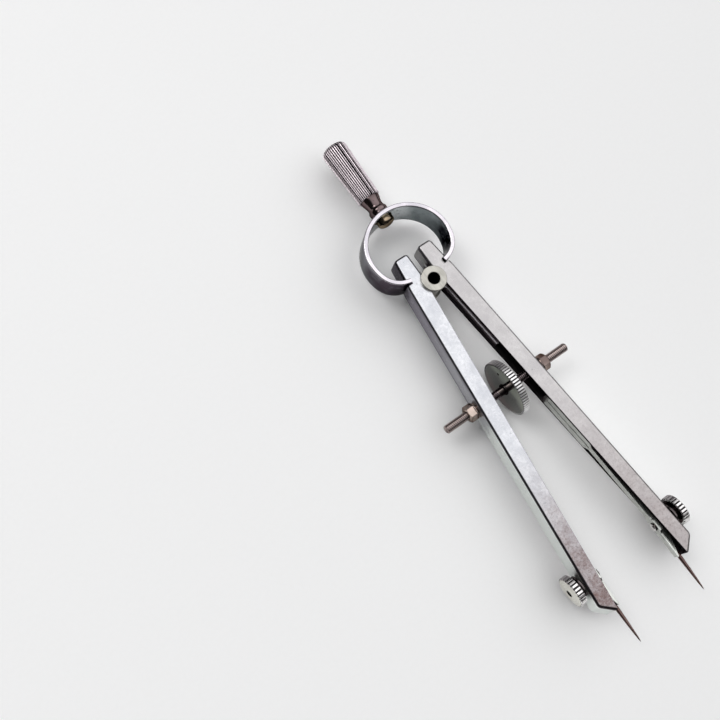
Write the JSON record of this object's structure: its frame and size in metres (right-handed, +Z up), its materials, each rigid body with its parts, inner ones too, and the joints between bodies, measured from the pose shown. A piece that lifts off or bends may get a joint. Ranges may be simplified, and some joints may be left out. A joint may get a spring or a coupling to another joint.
{
  "type": "spring-bow divider",
  "caption": "Spring-bow divider with fluted handle, ring spring, folded channel legs, centre-wheel adjusting screw, clamp screws and needle points.",
  "frame": {"origin": "centre of the fulcrum roller's bore, at mid-thickness of the legs", "axes": "+Y towards the handle, -Y towards the needle points, +X towards the right leg, +Z up off the surface it lies on"},
  "size_m": [0.0406, 0.151, 0.016],
  "materials": {
    "leg_nickel": "satin nickel plate",
    "insert_steel": "as-rolled",
    "holder_steel": "satin nickel plate",
    "handle_steel": "fluted, plated",
    "dark_steel": "polished",
    "polished_steel": "polished",
    "roller_steel": "machined, satin",
    "rod_steel": "fine thread",
    "wheel_steel": "knurled, satin faces",
    "nut_steel": "polished flats",
    "knob_nickel": "knurled, bright face",
    "needle_steel": "ground"
  },
  "bodies": {
    "frame": {"handle": "handle_steel", "handle_screw": "dark_steel", "spring_ring": "polished_steel", "fulcrum_roller": "roller_steel"},
    "leg_right": {"leg_right": "leg_nickel", "hinge_insert_right": "insert_steel", "needle_holder_right": "holder_steel", "clamp_washer_right": "polished_steel"},
    "nut_right": {"swivel_nut_right": "nut_steel"},
    "clamp_right": {"thumb_screw_right": "knob_nickel"},
    "point_right": {"needle_right": "needle_steel"},
    "leg_left": {"leg_left": "leg_nickel", "hinge_insert_left": "insert_steel", "needle_holder_left": "holder_steel", "clamp_washer_left": "polished_steel"},
    "nut_left": {"swivel_nut_left": "nut_steel"},
    "clamp_left": {"thumb_screw_left": "knob_nickel"},
    "point_left": {"needle_left": "needle_steel"},
    "collar": {"wheel_collar": "rod_steel"},
    "screw": {"adjusting_spindle": "rod_steel", "adjusting_wheel": "wheel_steel"}
  },
  "joints": [
    {"name": "leg_right_open", "type": "hinge", "parent": "frame", "child": "leg_right", "pos_m": [0, 0, 0], "axis": [0, 0, 1], "range_deg": [-5.75, 10.05], "deforming": ["spring_ring"]},
    {"name": "leg_left_open", "type": "hinge", "parent": "frame", "child": "leg_left", "pos_m": [0, 0, 0], "axis": [0, 0, -1], "range_deg": [-5.75, 10.05], "deforming": ["spring_ring"]},
    {"name": "nut_right_swivel", "type": "hinge", "parent": "leg_right", "child": "nut_right", "pos_m": [0.0122, -0.0341, 0], "axis": [0, 0, 1], "range_deg": [-10.05, 5.75]},
    {"name": "nut_left_swivel", "type": "hinge", "parent": "leg_left", "child": "nut_left", "pos_m": [-0.0122, -0.0341, 0], "axis": [0, 0, -1], "range_deg": [-10.05, 5.75]},
    {"name": "screw_travel", "type": "slide", "parent": "nut_right", "child": "collar", "axis": [1, 0, 0], "range_m": [-0.00595, 0.00339]},
    {"name": "wheel_spin", "type": "hinge", "parent": "collar", "child": "screw", "pos_m": [0, -0.0341, 0], "axis": [-1, 0, 0], "range_deg": [-2444, 4287]},
    {"name": "thumb_screw_right_turn", "type": "hinge", "parent": "leg_right", "child": "clamp_right", "pos_m": [0.0165, -0.0849, 0], "axis": [1, 0, 0], "range_deg": [0, 720]},
    {"name": "needle_right_slide", "type": "slide", "parent": "leg_right", "child": "point_right", "axis": [0, -1, 0], "range_m": [-0.0009, 0.0034]},
    {"name": "thumb_screw_left_turn", "type": "hinge", "parent": "leg_left", "child": "clamp_left", "pos_m": [-0.0165, -0.0849, 0], "axis": [-1, 0, 0], "range_deg": [0, 720]},
    {"name": "needle_left_slide", "type": "slide", "parent": "leg_left", "child": "point_left", "axis": [0, -1, 0], "range_m": [-0.0009, 0.0034]}
  ],
  "couplings": [
    {"joint": "leg_right_open", "follows": "screw_travel", "rad_per_m": -29.326},
    {"joint": "leg_left_open", "follows": "screw_travel", "rad_per_m": -29.326},
    {"joint": "nut_right_swivel", "follows": "screw_travel", "rad_per_m": 29.326},
    {"joint": "nut_left_swivel", "follows": "screw_travel", "rad_per_m": 29.326},
    {"joint": "wheel_spin", "follows": "screw_travel", "rad_per_m": -12566}
  ]
}
